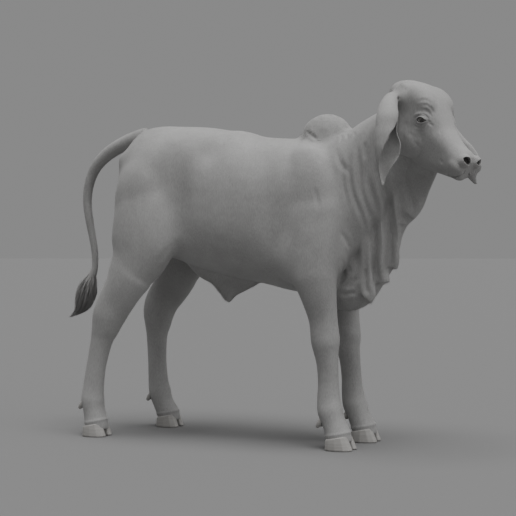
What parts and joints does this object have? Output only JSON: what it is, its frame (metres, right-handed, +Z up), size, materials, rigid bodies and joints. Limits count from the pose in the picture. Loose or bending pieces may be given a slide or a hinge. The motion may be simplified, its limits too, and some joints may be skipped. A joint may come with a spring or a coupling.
{
  "type": "brahman cattle, young bull, standing",
  "caption": "Life-size standing young Brahman bull with a shoulder hump, long hanging ears, a folded dewlap, cloven hooves and a brushed tail, as a still museum model.",
  "frame": {"origin": "on the floor under the middle of the animal's outline", "axes": "+X towards the head, +Y towards the animal's left side, +Z up"},
  "size_m": [1.6987, 0.5064, 1.2911],
  "materials": {
    "coat": "short grey hair lying flat over loose skin",
    "switch_hair": "long dark hair in locks",
    "hoof_horn": "grey horn, half gloss, with faint growth rings",
    "eye": "wet and dark"
  },
  "bodies": {
    "root": {"barrel": "coat", "cannon_fore_left": "coat", "cannon_fore_right": "coat", "cannon_hind_left": "coat", "cannon_hind_right": "coat", "dewclaw_fore_left_inner": "hoof_horn", "dewclaw_fore_left_outer": "hoof_horn", "dewclaw_fore_right_inner": "hoof_horn", "dewclaw_fore_right_outer": "hoof_horn", "dewclaw_hind_left_inner": "hoof_horn", "dewclaw_hind_left_outer": "hoof_horn", "dewclaw_hind_right_inner": "hoof_horn", "dewclaw_hind_right_outer": "hoof_horn", "dewlap": "coat", "ear_left": "coat", "ear_right": "coat", "eye_left": "eye", "eye_right": "eye", "forearm_left": "coat", "forearm_right": "coat", "forequarters": "coat", "head": "coat", "hindquarters": "coat", "hoof_fore_left_inner": "hoof_horn", "hoof_fore_left_outer": "hoof_horn", "hoof_fore_right_inner": "hoof_horn", "hoof_fore_right_outer": "hoof_horn", "hoof_hind_left_inner": "hoof_horn", "hoof_hind_left_outer": "hoof_horn", "hoof_hind_right_inner": "hoof_horn", "hoof_hind_right_outer": "hoof_horn", "hump": "coat", "neck": "coat", "sheath": "coat", "tail_lower": "coat", "tail_switch": "switch_hair", "tail_upper": "coat", "thigh_left": "coat", "thigh_right": "coat"}
  },
  "joints": []
}
